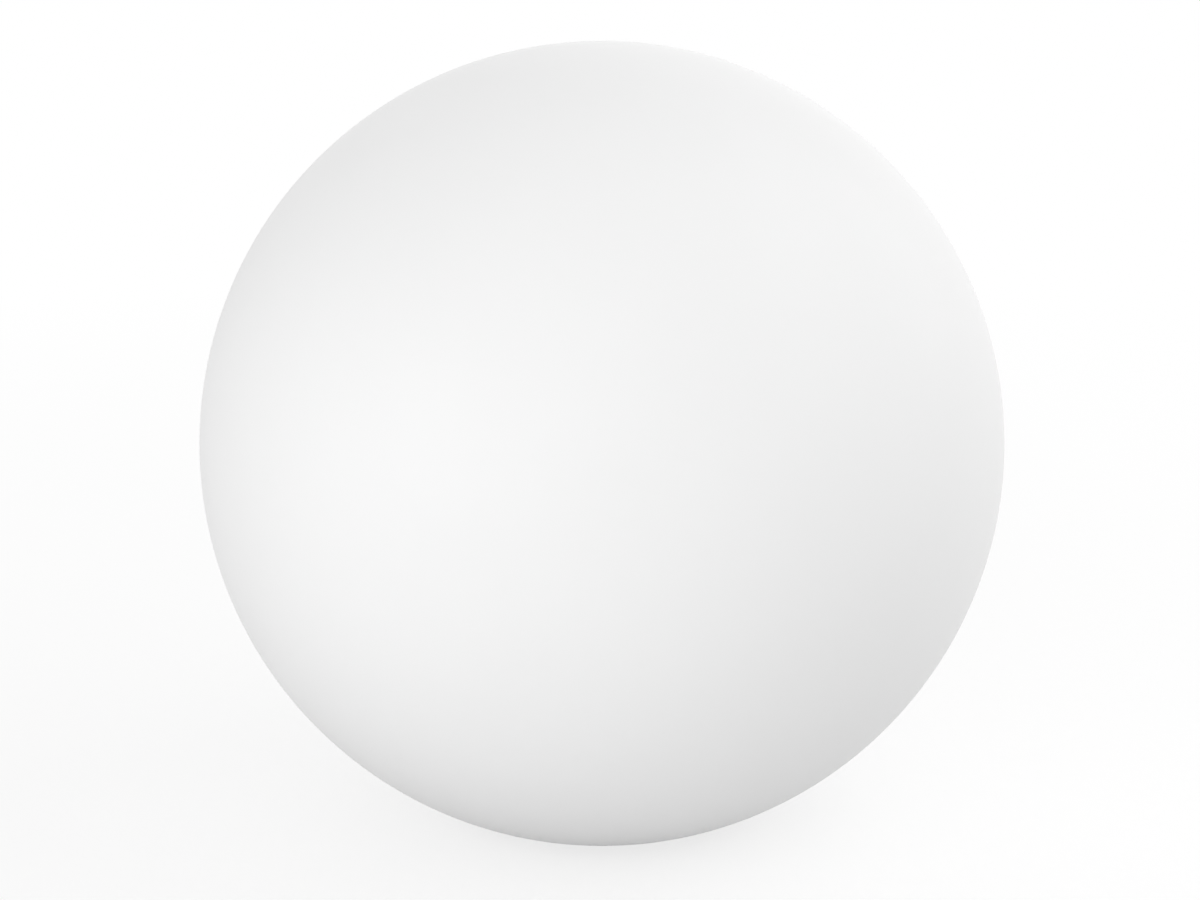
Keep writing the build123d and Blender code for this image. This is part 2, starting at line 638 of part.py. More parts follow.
# White cover over the chamber, with pilot bosses under it for the column screws
with BuildPart() as cover:
    with BuildSketch(Plane.XY.offset(cover_z)):
        Circle(collar_inner_r - COVER_GAP)
    extrude(amount=COVER_THICKNESS)
    fillet(cover.edges().group_by(Axis.Z)[-1], COVER_ROUND)
    with BuildSketch(Plane.XY.offset(cover_z)):
        with PolarLocations(COLUMN_SCREW_CIRCLE / 2, COLUMN_SCREWS, start_angle=-90):
            Circle(BOSS_DIAMETER / 2)
    extrude(amount=-COVER_BOSS_DEPTH)
    with BuildSketch(Plane.XY.offset(cover_top_z)):
        Circle(WIRE_HOLE / 2)
        with PolarLocations(boss_circle_r, COVER_SCREWS, start_angle=180 / COVER_SCREWS):
            Circle(SCREW_DIAMETER / 2 + SCREW_GAP)
    extrude(amount=-COVER_THICKNESS, mode=Mode.SUBTRACT)
    with BuildSketch(Plane.XY.offset(cover_top_z)):
        with PolarLocations(COLUMN_SCREW_CIRCLE / 2, COLUMN_SCREWS, start_angle=-90):
            Circle(SCREW_DIAMETER / 2 + THREAD_GAP)
    extrude(amount=-COVER_THICKNESS - COVER_BOSS_DEPTH, mode=Mode.SUBTRACT)
keep(cover, "cover")

with BuildPart() as cover_screws:
    add(pan_screws(cover_top_z, boss_circle_r, COVER_SCREWS, 180 / COVER_SCREWS))
keep(cover_screws, "cover_screws")

# Column: a moulded tube on a flange, stiffened by gussets between its screws
with BuildPart() as gusset:
    with BuildSketch(Plane.XZ):
        gusset_z = cover_top_z + COLUMN_FLANGE_THICKNESS
        with BuildLine():
            Polyline(
                (COLUMN_DIAMETER / 2 - COLUMN_WALL / 2, gusset_z),
                (COLUMN_FLANGE / 2 - GUSSET_TOE, gusset_z),
                (COLUMN_DIAMETER / 2, gusset_z + GUSSET_HEIGHT),
                (COLUMN_DIAMETER / 2 - COLUMN_WALL / 2, gusset_z + GUSSET_HEIGHT),
                close=True,
            )
        make_face()
    extrude(amount=GUSSET_THICKNESS / 2, both=True)

with BuildPart() as column:
    with BuildSketch(Plane.XZ) as column_section:
        with BuildLine():
            Polyline(
                (COLUMN_DIAMETER / 2 - COLUMN_WALL, cover_top_z),
                (COLUMN_FLANGE / 2, cover_top_z),
                (COLUMN_FLANGE / 2, cover_top_z + COLUMN_FLANGE_THICKNESS),
                (COLUMN_DIAMETER / 2, cover_top_z + COLUMN_FLANGE_THICKNESS),
                (COLUMN_DIAMETER / 2, column_top_z),
                (NIPPLE_DIAMETER / 2 + THREAD_GAP, column_top_z),
                (NIPPLE_DIAMETER / 2 + THREAD_GAP, column_top_z - COLUMN_TOP),
                (COLUMN_DIAMETER / 2 - COLUMN_WALL, column_top_z - COLUMN_TOP),
                close=True,
            )
        make_face()
        corners = column_section.vertices()
        fillet(corners.sort_by_distance((COLUMN_DIAMETER / 2, gusset_z))[0], COLUMN_ROOT)
        corners = column_section.vertices()
        fillet(corners.sort_by_distance((COLUMN_FLANGE / 2, gusset_z))[0], COLUMN_ROUND)
        corners = column_section.vertices()
        fillet(corners.sort_by_distance((COLUMN_DIAMETER / 2, column_top_z))[0], COLUMN_ROUND)
    revolve(axis=Axis.Z)
    with PolarLocations(0, COLUMN_SCREWS, start_angle=90):
        add(gusset.part)
    with BuildSketch(Plane.XY.offset(cover_top_z)):
        with PolarLocations(COLUMN_SCREW_CIRCLE / 2, COLUMN_SCREWS, start_angle=-90):
            Circle(SCREW_DIAMETER / 2 + SCREW_GAP)
    extrude(amount=COLUMN_FLANGE_THICKNESS, mode=Mode.SUBTRACT)
keep(column, "column")

with BuildPart() as column_screws:
    add(pan_screws(cover_top_z + COLUMN_FLANGE_THICKNESS, COLUMN_SCREW_CIRCLE / 2, COLUMN_SCREWS, -90))
keep(column_screws, "column_screws")

# Hollow threaded nipple and its nut, which clamp the lampholder to the column
nut_z = column_top_z - COLUMN_TOP - NUT_THICKNESS
with BuildPart() as nipple:
    with BuildSketch(Plane.XY.offset(nut_z - NIPPLE_TAIL)):
        Circle(NIPPLE_DIAMETER / 2)
        Circle(NIPPLE_BORE / 2, mode=Mode.SUBTRACT)
    extrude(amount=NIPPLE_TAIL + NUT_THICKNESS + COLUMN_TOP + HOLDER_FLOOR + NIPPLE_REACH)
keep(nipple, "nipple")

with BuildPart() as nipple_nut:
    with BuildSketch(Plane.XY.offset(nut_z)):
        RegularPolygon(NUT_HEX / 2, 6, major_radius=False)
        Circle(NIPPLE_DIAMETER / 2 + THREAD_GAP, mode=Mode.SUBTRACT)
    extrude(amount=NUT_THICKNESS)
keep(nipple_nut, "nipple_nut")

# Lampholder dome: flares from the column up to a spigot that the lampholder's upper shell screws over
with BuildPart() as holder_dome:
    with BuildSketch(Plane.XZ):
        foot_z = column_top_z + HOLDER_FLOOR
        flare_z = foot_z + HOLDER_FLARE
        ledge_bore_r = spigot_bore_r - HOLDER_LEDGE
        with BuildLine():
            Polyline(
                (NIPPLE_DIAMETER / 2 + THREAD_GAP, foot_z),
                (NIPPLE_DIAMETER / 2 + THREAD_GAP, column_top_z),
                (HOLDER_FOOT / 2, column_top_z),
                (HOLDER_FOOT / 2, foot_z),
            )
            Bezier(
                (HOLDER_FOOT / 2, foot_z),
                (HOLDER_FOOT / 2, foot_z + HOLDER_FLARE * 0.6),
                (HOLDER_DIAMETER / 2, flare_z - HOLDER_FLARE * 0.6),
                (HOLDER_DIAMETER / 2, flare_z),
            )
            Polyline(
                (HOLDER_DIAMETER / 2, flare_z),
                (HOLDER_DIAMETER / 2, seam_z - SEAM_CHAMFER),
                (HOLDER_DIAMETER / 2 - SEAM_CHAMFER, seam_z),
                (spigot_r, seam_z),
                (spigot_r, dome_top_z),
                (spigot_bore_r, dome_top_z),
                (spigot_bore_r, block_z),
                (ledge_bore_r, block_z),
                (ledge_bore_r, block_z - HOLDER_WALL),
                (HOLDER_FOOT / 2 - HOLDER_WALL, foot_z),
                (NIPPLE_DIAMETER / 2 + THREAD_GAP, foot_z),
            )
        make_face()
    revolve(axis=Axis.Z)
keep(holder_dome, "holder_dome")

# Ceramic block that carries the contacts, with sockets for the two wires
with BuildPart() as contact_block:
    with BuildSketch(Plane.XY.offset(block_z)):
        Circle(spigot_bore_r - BLOCK_GAP)
    extrude(amount=BLOCK_THICKNESS)
    with BuildSketch(Plane.XY.offset(block_z)):
        with GridLocations(WIRE_SPREAD, 0, 2, 1):
            Circle(WIRE_DIAMETER / 2 + WIRE_GAP)
    extrude(amount=WIRE_SOCKET, mode=Mode.SUBTRACT)
    with BuildSketch(Plane.XY.offset(dome_top_z)):
        with Locations((-rivet_x, 0)):
            Circle(RIVET_DIAMETER / 2 + RIVET_GAP)
        with PolarLocations(sleeve_rivet_r, 2, start_angle=90):
            Circle(RIVET_DIAMETER / 2 + RIVET_GAP)
    extrude(amount=-RIVET_LENGTH, mode=Mode.SUBTRACT)
keep(contact_block, "contact_block")

with BuildPart() as holder_shell:
    with BuildSketch(Plane.XZ):
        with BuildLine():
            Polyline(
                (spigot_r + SHELL_GAP, seam_z),
                (HOLDER_DIAMETER / 2 - SEAM_CHAMFER, seam_z),
                (HOLDER_DIAMETER / 2, seam_z + SEAM_CHAMFER),
                (HOLDER_DIAMETER / 2, shell_top_z),
                (SHELL_BORE / 2, shell_top_z),
                (SHELL_BORE / 2, dome_top_z),
                (spigot_r + SHELL_GAP, dome_top_z),
                close=True,
            )
        make_face()
    revolve(axis=Axis.Z)
    chamfer(holder_shell.edges().group_by(Axis.Z)[-1], SHELL_CHAMFER)
keep(holder_shell, "holder_shell")

# Thread sleeve, leaf contact and the rivets that hold both to the block
with BuildPart() as thread_sleeve:
    with BuildSketch(Plane.XZ):
        with BuildLine():
            Polyline(
                (sleeve_r - SLEEVE_FOOT, dome_top_z),
                (sleeve_r + SLEEVE_WALL, dome_top_z),
                (sleeve_r + SLEEVE_WALL, dome_top_z + SLEEVE_HEIGHT),
                (sleeve_r, dome_top_z + SLEEVE_HEIGHT),
                (sleeve_r, dome_top_z + SLEEVE_WALL),
                (sleeve_r - SLEEVE_FOOT, dome_top_z + SLEEVE_WALL),
                close=True,
            )
        make_face()
    revolve(axis=Axis.Z)
    with BuildSketch(Plane.XY.offset(dome_top_z)):
        with PolarLocations(sleeve_rivet_r, 2, start_angle=90):
            Circle(RIVET_DIAMETER / 2 + RIVET_GAP)
    extrude(amount=SLEEVE_WALL, mode=Mode.SUBTRACT)
keep(thread_sleeve, "thread_sleeve")

with BuildPart() as centre_contact:
    with BuildSketch(Plane.XZ):
        with BuildLine():
            Polyline(
                (-LEAF_END, dome_top_z),
                (-LEAF_BEND, dome_top_z),
                (-LEAF_THICKNESS, tip_z - LEAF_THICKNESS),
                (LEAF_TIP, tip_z - LEAF_THICKNESS),
                (LEAF_TIP, tip_z),
                (-LEAF_THICKNESS * 1.5, tip_z),
                (-LEAF_BEND - LEAF_THICKNESS / 2, dome_top_z + LEAF_THICKNESS),
                (-LEAF_END, dome_top_z + LEAF_THICKNESS),
                close=True,
            )
        make_face()
    extrude(amount=LEAF_WIDTH / 2, both=True)
    with BuildSketch(Plane.XY.offset(dome_top_z)):
        with Locations((-rivet_x, 0)):
            Circle(RIVET_DIAMETER / 2 + RIVET_GAP)
    extrude(amount=LEAF_THICKNESS, mode=Mode.SUBTRACT)
keep(centre_contact, "centre_contact")

with BuildPart() as contact_rivets:
    with BuildSketch(Plane.XY.offset(dome_top_z - RIVET_LENGTH)):
        with Locations((-rivet_x, 0)):
            Circle(RIVET_DIAMETER / 2)
    extrude(amount=RIVET_LENGTH + LEAF_THICKNESS)
    with BuildSketch(Plane.XY.offset(dome_top_z + LEAF_THICKNESS)):
        with Locations((-rivet_x, 0)):
            Circle(RIVET_HEAD / 2)
    extrude(amount=RIVET_HEAD_HEIGHT)
    with BuildSketch(Plane.XY.offset(dome_top_z - RIVET_LENGTH)):
        with PolarLocations(sleeve_rivet_r, 2, start_angle=90):
            Circle(RIVET_DIAMETER / 2)
    extrude(amount=RIVET_LENGTH + SLEEVE_WALL)
    with BuildSketch(Plane.XY.offset(dome_top_z + SLEEVE_WALL)):
        with PolarLocations(sleeve_rivet_r, 2, start_angle=90):
            Circle(RIVET_HEAD / 2)
    extrude(amount=RIVET_HEAD_HEIGHT)
keep(contact_rivets, "contact_rivets")

# Bulb: tip contact, insulator and screw cap below, housing with LED board and driver, dome on top
with BuildPart() as bulb_tip:
    with BuildSketch(Plane.XY.offset(tip_z)):
        Circle(TIP_DIAMETER / 2)
    extrude(amount=TIP_HEIGHT)
keep(bulb_tip, "bulb_tip")

with BuildPart() as bulb_insulator:
    with BuildSketch(Plane.XZ):
        with BuildLine():
            Polyline(
                (0, tip_z + TIP_HEIGHT),
                (TIP_DIAMETER / 2, tip_z + TIP_HEIGHT),
                (INSULATOR_DIAMETER / 2, cap_z),
                (cap_bore_r - CAP_GAP, cap_z),
                (cap_bore_r - CAP_GAP, cap_z + INSULATOR_PLUG),
                (0, cap_z + INSULATOR_PLUG),
                close=True,
            )
        make_face()
    revolve(axis=Axis.Z)
keep(bulb_insulator, "bulb_insulator")

with BuildPart() as bulb_cap:
    with BuildSketch(Plane.XY.offset(cap_z)):
        Circle(CAP_DIAMETER / 2)
        Circle(cap_bore_r, mode=Mode.SUBTRACT)
    extrude(amount=CAP_LENGTH)
keep(bulb_cap, "bulb_cap")

with BuildPart() as bulb_housing:
    with BuildSketch(Plane.XZ):
        skirt_r = cap_bore_r - CAP_GAP
        neck_r = BULB_NECK / 2
        neck_top_z = cap_top_z + BULB_NECK_LENGTH
        board_seat_r = shoulder_r - BULB_WALL
        with BuildLine():
            Polyline(
                (skirt_r - BULB_WALL, cap_top_z - BULB_SKIRT),
                (skirt_r, cap_top_z - BULB_SKIRT),
                (skirt_r, cap_top_z),
                (neck_r, cap_top_z),
                (neck_r, neck_top_z),
            )
            Bezier(
                (neck_r, neck_top_z),
                (neck_r, neck_top_z + BULB_SWELL),
                (shoulder_r, shoulder_z - BULB_SWELL),
                (shoulder_r, shoulder_z),
            )
            Polyline(
                (shoulder_r, shoulder_z),
                (board_seat_r, shoulder_z),
                (board_seat_r, board_z),
                (board_seat_r - BOARD_LEDGE, board_z),
            )
            Bezier(
                (board_seat_r - BOARD_LEDGE, board_z),
                (board_seat_r - BOARD_LEDGE, board_z - BULB_SWELL),
                (neck_r - BULB_WALL, neck_top_z + BULB_SWELL),
                (neck_r - BULB_WALL, neck_top_z),
            )
            Polyline(
                (neck_r - BULB_WALL, neck_top_z),
                (neck_r - BULB_WALL, cap_top_z + BULB_WALL),
                (skirt_r - BULB_WALL, cap_top_z + BULB_WALL),
                (skirt_r - BULB_WALL, cap_top_z - BULB_SKIRT),
            )
        make_face()
    revolve(axis=Axis.Z)
keep(bulb_housing, "bulb_housing")

with BuildPart() as bulb_board:
    with BuildSketch(Plane.XY.offset(board_z)):
        Circle(board_r)
    extrude(amount=BOARD_THICKNESS)
keep(bulb_board, "bulb_board")

with BuildPart() as bulb_leds:
    with BuildSketch(Plane.XY.offset(board_z + BOARD_THICKNESS)):
        with PolarLocations(board_r - LED_INSET, LEDS):
            Rectangle(LED_SIZE, LED_SIZE)
    extrude(amount=LED_THICKNESS)
keep(bulb_leds, "bulb_leds")

with BuildPart() as bulb_driver:
    with BuildSketch(Plane.XY.offset(board_z)):
        Rectangle(DRIVER_WIDTH, DRIVER_THICKNESS)
    extrude(amount=-DRIVER_HEIGHT)
    with BuildSketch(Plane.XY.offset(board_z - PARTS_DROP)):
        with Locations((0, DRIVER_THICKNESS / 2 + CAPACITOR_DIAMETER / 2 - CAPACITOR_SUNK)):
            Circle(CAPACITOR_DIAMETER / 2)
    extrude(amount=-CAPACITOR_HEIGHT)
    with BuildSketch(Plane.XY.offset(board_z - PARTS_DROP)):
        with Locations((0, -DRIVER_THICKNESS / 2)):
            Rectangle(COIL_WIDTH, COIL_DEPTH, align=(Align.CENTER, Align.MAX))
    extrude(amount=-COIL_HEIGHT)
keep(bulb_driver, "bulb_driver")

with BuildPart() as bulb_dome:
    with BuildSketch(Plane.XZ):
        lip_z = board_z + BOARD_THICKNESS
        dome_inner_r = bulb_r - BULB_WALL
        inner_start_z = shoulder_z + BULB_WALL
        start_angle = degrees(asin((shoulder_z - bulb_centre_z) / bulb_r))
        inner_start_angle = degrees(asin((inner_start_z - bulb_centre_z) / dome_inner_r))
        inner_start_r = sqrt(dome_inner_r**2 - (inner_start_z - bulb_centre_z) ** 2)
        with BuildLine():
            CenterArc((0, bulb_centre_z), bulb_r, start_angle, 90 - start_angle)
            CenterArc((0, bulb_centre_z), dome_inner_r, inner_start_angle, 90 - inner_start_angle)
            Line((0, bulb_centre_z + bulb_r), (0, bulb_centre_z + dome_inner_r))
            Polyline(
                (shoulder_r, shoulder_z),
                (board_r, shoulder_z),
                (board_r, lip_z),
                (board_r - BULB_WALL, lip_z),
                (board_r - BULB_WALL, shoulder_z),
                (inner_start_r, inner_start_z),
            )
        make_face()
    revolve(axis=Axis.Z)
keep(bulb_dome, "bulb_dome")

# Terminal block on the chamber floor, its tubes and screws
terminal_top_z = floor_z + TERMINAL_HEIGHT
tube_plane = Plane((0, TERMINAL_Y + TUBE_LENGTH / 2, tube_z), x_dir=(1, 0, 0), z_dir=(0, -1, 0))
block_plane = Plane((0, TERMINAL_Y + TERMINAL_DEPTH / 2, tube_z), x_dir=(1, 0, 0), z_dir=(0, -1, 0))
with BuildPart() as terminal_block:
    with BuildSketch(Plane.XY.offset(floor_z)):
        with Locations((0, TERMINAL_Y)):
            RectangleRounded(TERMINAL_WIDTH, TERMINAL_DEPTH, TERMINAL_ROUND)
    extrude(amount=TERMINAL_HEIGHT)
    with BuildSketch(block_plane):
        with GridLocations(TERMINAL_PITCH, 0, 2, 1):
            Circle(TUBE_DIAMETER / 2 + TUBE_GAP)
    extrude(amount=TERMINAL_DEPTH, mode=Mode.SUBTRACT)
    with BuildSketch(Plane.XY.offset(terminal_top_z)):
        with Locations((0, TERMINAL_Y)):
            with GridLocations(TERMINAL_PITCH, CLAMP_SCREW_PITCH, 2, 2):
                Circle(CLAMP_SCREW / 2 + TUBE_GAP)
    extrude(amount=-(TERMINAL_HEIGHT - TUBE_HEIGHT), mode=Mode.SUBTRACT)
    with BuildSketch(Plane.XY.offset(floor_z)):
        with Locations((0, TERMINAL_Y)):
            Circle(TERMINAL_BOSS / 2 + SCREW_GAP)
    extrude(amount=TERMINAL_BOSS_HEIGHT + SCREW_GAP, mode=Mode.SUBTRACT)
    with BuildSketch(Plane.XY.offset(floor_z)):
        with Locations((0, TERMINAL_Y)):
            Circle(TERMINAL_SCREW / 2 + THREAD_GAP)
    extrude(amount=TERMINAL_HEIGHT, mode=Mode.SUBTRACT)
    with BuildSketch(Plane.XY.offset(floor_z + TERMINAL_WEB)):
        with Locations((0, TERMINAL_Y)):
            Circle(TERMINAL_SCREW_HEAD / 2 + SCREW_GAP)
    extrude(amount=TERMINAL_HEIGHT - TERMINAL_WEB, mode=Mode.SUBTRACT)
keep(terminal_block, "terminal_block")

with BuildPart() as terminal_tubes:
    with BuildSketch(tube_plane):
        with GridLocations(TERMINAL_PITCH, 0, 2, 1):
            Circle(TUBE_DIAMETER / 2)
            Circle(TUBE_BORE / 2, mode=Mode.SUBTRACT)
    extrude(amount=TUBE_LENGTH)
keep(terminal_tubes, "terminal_tubes")

with BuildPart() as clamp_screws:
    with BuildSketch(Plane.XY.offset(tube_z + TUBE_DIAMETER / 2)):
        with Locations((0, TERMINAL_Y)):
            with GridLocations(TERMINAL_PITCH, CLAMP_SCREW_PITCH, 2, 2):
                Circle(CLAMP_SCREW / 2)
    extrude(amount=CLAMP_SCREW_HEIGHT)
    with BuildSketch(Plane.XY.offset(tube_z + TUBE_DIAMETER / 2 + CLAMP_SCREW_HEIGHT)):
        with Locations((0, TERMINAL_Y)):
            with GridLocations(TERMINAL_PITCH, CLAMP_SCREW_PITCH, 2, 2):
                Rectangle(CLAMP_SCREW, CLAMP_SLOT)
    extrude(amount=-CLAMP_SLOT, mode=Mode.SUBTRACT)
keep(clamp_screws, "clamp_screws")

with BuildPart() as terminal_screw:
    with BuildSketch(Plane.XY.offset(floor_z + TERMINAL_WEB)):
        with Locations((0, TERMINAL_Y)):
            Circle(TERMINAL_SCREW_HEAD / 2)
    extrude(amount=TERMINAL_SCREW_HEAD_HEIGHT)
    with BuildSketch(Plane.XY.offset(floor_z)):
        with Locations((0, TERMINAL_Y)):
            Circle(TERMINAL_SCREW / 2)
    extrude(amount=TERMINAL_WEB)
    with BuildSketch(Plane.XY.offset(floor_z + TERMINAL_WEB + TERMINAL_SCREW_HEAD_HEIGHT)):
        with Locations((0, TERMINAL_Y)):
            Rectangle(TERMINAL_SCREW_HEAD, CLAMP_SLOT)
    extrude(amount=-CLAMP_SLOT, mode=Mode.SUBTRACT)
keep(terminal_screw, "terminal_screw")

# Two insulated wires from the terminal block up to the contact block
with BuildPart() as live_wire:
    add(wire(-1))
keep(live_wire, "live_wire")

with BuildPart() as neutral_wire:
    add(wire(1))
keep(neutral_wire, "neutral_wire")
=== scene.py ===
"""Outdoor floor lamp: finishes and fine forms of a white moulded globe and its base, in metres."""

import json
from math import asin, ceil, cos, pi, radians, sin, sqrt, tau

import bmesh
import bpy
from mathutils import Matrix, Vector


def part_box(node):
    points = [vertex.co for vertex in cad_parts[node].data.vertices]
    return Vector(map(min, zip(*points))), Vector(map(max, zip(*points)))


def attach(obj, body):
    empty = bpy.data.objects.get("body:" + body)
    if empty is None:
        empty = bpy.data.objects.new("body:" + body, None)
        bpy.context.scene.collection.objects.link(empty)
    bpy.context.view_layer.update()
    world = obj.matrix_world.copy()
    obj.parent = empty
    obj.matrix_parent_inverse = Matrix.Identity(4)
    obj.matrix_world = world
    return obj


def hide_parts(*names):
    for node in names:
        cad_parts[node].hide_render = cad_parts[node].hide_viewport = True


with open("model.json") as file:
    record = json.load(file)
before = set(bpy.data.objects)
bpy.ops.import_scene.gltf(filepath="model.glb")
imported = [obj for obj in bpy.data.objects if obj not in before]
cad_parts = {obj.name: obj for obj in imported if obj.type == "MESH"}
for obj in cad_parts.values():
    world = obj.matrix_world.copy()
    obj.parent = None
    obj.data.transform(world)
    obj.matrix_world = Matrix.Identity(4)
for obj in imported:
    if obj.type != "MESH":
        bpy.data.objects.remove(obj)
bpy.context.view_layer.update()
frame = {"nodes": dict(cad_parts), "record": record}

# Globe and the seat of its neck ring
GLOBE_RADIUS = 0.250
GLOBE_WALL = 0.004
RIM_ROUND = 0.005
INSIDE_ROUND = 0.008
FIT_GAP = 0.0005
BOSS_RADIUS = 0.0075
BOSS_HEIGHT = 0.009
BOSS_FLARE = 0.002
BOSSES = 6
INSERT_RADIUS = 0.004
BOSS_SIDES = 40
GLOBE_SIDES = 192
ARC_STEP = 0.008  # length of one face along a profile's arcs
ROUND_STEPS = 8  # least faces along an arc
SHARP_ANGLE = 35  # degrees, above which an edge isn't shaded smooth

# Thread of the bulb and its lampholder, with the standard pitch
THREAD_PITCH = 0.0254 / 7
THREAD_DEPTH = 0.0009
THREAD_GAP = 0.0003
SHEET = 0.0004
SLEEVE_SHEET = 0.0005
SLEEVE_FOOT = 0.0035
THREAD_SIDES = 96
THREAD_STEPS = 14  # rows of faces in one turn of the thread

# Globe plastic: a satin white with faint clouds, an uneven gloss and the fine ripple of its mould
GLOBE_WHITE = (0.885, 0.885, 0.885)
CLOUD_SIZE = 0.12
CLOUD_CHANGE = 0.006
GLOSS_SIZE = 0.05
GLOSS_LOW = 0.67
GLOSS_HIGH = 0.73
RIPPLE_SIZE = 0.0016
RIPPLE_DEPTH = 0.000006
COAT_WEIGHT = 0.05
COAT_ROUGHNESS = 0.16
GLOBE_SCATTER = 0.08
GLOBE_SCATTER_DEPTH = 0.002

# Frosted dome of the bulb, which lets some light in
OPAL_SCATTER = 0.35
OPAL_SCATTER_DEPTH = 0.004
OPAL_SCATTER_TINT = (1, 1, 0.9)

# Finishes of the other material slots, in the terms of the function surface
FINISHES = {
    "white_plastic": dict(
        colour=(0.80, 0.80, 0.785), roughness=0.45, mottle=0.012, grain=0.0009, depth=0.000012
    ),
    "grey_plastic": dict(
        colour=(0.085, 0.086, 0.088), roughness=0.52, mottle=0.08, grain=0.0007, depth=0.00003
    ),
    "gland_plastic": dict(colour=(0.47, 0.48, 0.48), roughness=0.44, mottle=0.03),
    "terminal_plastic": dict(colour=(0.66, 0.67, 0.63), roughness=0.40, mottle=0.03),
    "rubber": dict(colour=(0.018, 0.018, 0.018), roughness=0.70, mottle=0.15, grain=0.0005, depth=0.00002),
    "pad_rubber": dict(
        colour=(0.032, 0.032, 0.032), roughness=0.78, mottle=0.15, grain=0.0008, depth=0.00005
    ),
    "brass": dict(colour=(0.72, 0.50, 0.20), roughness=0.28, metallic=1.0, mottle=0.06, squeeze=(1, 1, 12)),
    "plated_steel": dict(colour=(0.66, 0.67, 0.68), roughness=0.30, metallic=1.0, mottle=0.05),
    "plated_brass": dict(
        colour=(0.70, 0.68, 0.64), roughness=0.24, metallic=1.0, mottle=0.04, squeeze=(1, 1, 8)
    ),
    "ceramic": dict(colour=(0.74, 0.71, 0.65), roughness=0.62, mottle=0.04, grain=0.0004, depth=0.00002),
    "holder_plastic": dict(
        colour=(0.76, 0.76, 0.73), roughness=0.22, mottle=0.01, grain=0.002, depth=0.000006
    ),
    "cap_insulator": dict(colour=(0.012, 0.012, 0.014), roughness=0.12, mottle=0.1, vary=0.04),
    "bulb_plastic": dict(colour=(0.82, 0.82, 0.82), roughness=0.36, mottle=0.01, depth=0.000008),
    "bulb_diffuser": dict(
        colour=(0.86, 0.86, 0.85), roughness=0.48, mottle=0.008, grain=0.0004, depth=0.000004
    ),
    "board": dict(colour=(0.80, 0.81, 0.80), roughness=0.40, mottle=0.02),
    "led": dict(colour=(0.85, 0.62, 0.10), roughness=0.35, mottle=0.10, patch=0.002),
    "driver_board": dict(colour=(0.03, 0.12, 0.05), roughness=0.35, mottle=0.2, patch=0.004),
    "brown_wire": dict(colour=(0.09, 0.035, 0.014), roughness=0.42, mottle=0.1, patch=0.006),
    "blue_wire": dict(colour=(0.012, 0.06, 0.26), roughness=0.42, mottle=0.1, patch=0.006),
}
GLOSS_FINENESS = 3  # how many times smaller the patches of gloss are than those of colour
PATCH_DETAIL = 3.0  # layers of finer and finer noise in a patch
SMOOTH_DETAIL = 2.0  # and in clouds and grain, which are smoother
NOISE_LOW = 0.3  # most of a noise value lies between these two
NOISE_HIGH = 0.7

# Places of the sockets that the mix node uses for colours, since its socket names repeat
MIX_SHARE = 0
MIX_FIRST = 6
MIX_SECOND = 7
MIX_RESULT = 2

# Camera, from the ball's outline in the photograph of 1200 by 900 pixels
PHOTO_WIDTH = 1200
PHOTO_HEIGHT = 900
BALL_CENTRE_X = 601.97
BALL_CENTRE_Y = 443.33
BALL_OUTLINE = 402.62
CAMERA_DISTANCE = 1.5
CAMERA_ELEVATION = 15
SENSOR_WIDTH = 36.0

# Studio
FLOOR_SIZE = 40.0
FLOOR_PALE = 0.97  # colour that the camera sees
FLOOR_BOUNCE = 0.73  # colour that lights the globe from below
SHADOW_SHARE = 0.25  # how much of the floor near the lamp shows light and shadow, the rest being white
SHADOW_NEAR = 0.6  # from this distance on, the floor fades to plain white
SHADOW_FAR = 1.8  # and from this one on it is plain white
AMBIENT = 0.625

# Softboxes: azimuth and elevation seen from the globe, distance, width, height and brightness
SOFTBOXES = {
    "left_softbox": (-30, 13, 2.2, 2.0, 1.4, 2.12),
    "right_softbox": (97, 36, 2.2, 2.6, 2.2, 1.24),
    "back_softbox": (-175, 25, 2.2, 2.0, 1.8, 0.60),
}

parts = frame["nodes"]
slot_of = {row["node"]: row["material_slot"] for row in frame["record"]["subparts"]}
globe_low, globe_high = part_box("globe")
globe_z = globe_high.z - GLOBE_RADIUS
globe_centre = Vector((0, 0, globe_z))


# Shader nodes
def new_material(name):
    made = bpy.data.materials.new(name)
    made.use_nodes = True
    return made, made.node_tree, made.node_tree.nodes["Principled BSDF"]


def noise(tree, size, detail=PATCH_DETAIL, squeeze=(1, 1, 1)):
    """A noise value whose features measure about the given size in metres, and less where squeezed."""
    place = tree.nodes.new("ShaderNodeTexCoord")
    mapping = tree.nodes.new("ShaderNodeMapping")
    mapping.inputs["Scale"].default_value = squeeze
    texture = tree.nodes.new("ShaderNodeTexNoise")
    texture.inputs["Scale"].default_value = 1 / size
    texture.inputs["Detail"].default_value = detail
    tree.links.new(place.outputs["Object"], mapping.inputs["Vector"])
    tree.links.new(mapping.outputs["Vector"], texture.inputs["Vector"])
    return texture.outputs["Fac"]


def ramp(tree, value, low, high, start=0.0, end=1.0):
    """A value that goes from low to high as the given one goes from start to end."""
    node = tree.nodes.new("ShaderNodeMapRange")
    node.inputs["From Min"].default_value = start
    node.inputs["From Max"].default_value = end
    node.inputs["To Min"].default_value = low
    node.inputs["To Max"].default_value = high
    tree.links.new(value, node.inputs["Value"])
    return node.outputs["Result"]


def spread(tree, value, low, high):
    """The middle range of a noise value, spread from low to high."""
    return ramp(tree, value, low, high, NOISE_LOW, NOISE_HIGH)


def combine(tree, operation, first, second):
    """Two values brought together by a named operation."""
    node = tree.nodes.new("ShaderNodeMath")
    node.operation = operation
    tree.links.new(first, node.inputs[0])
    tree.links.new(second, node.inputs[1])
    return node.outputs[0]


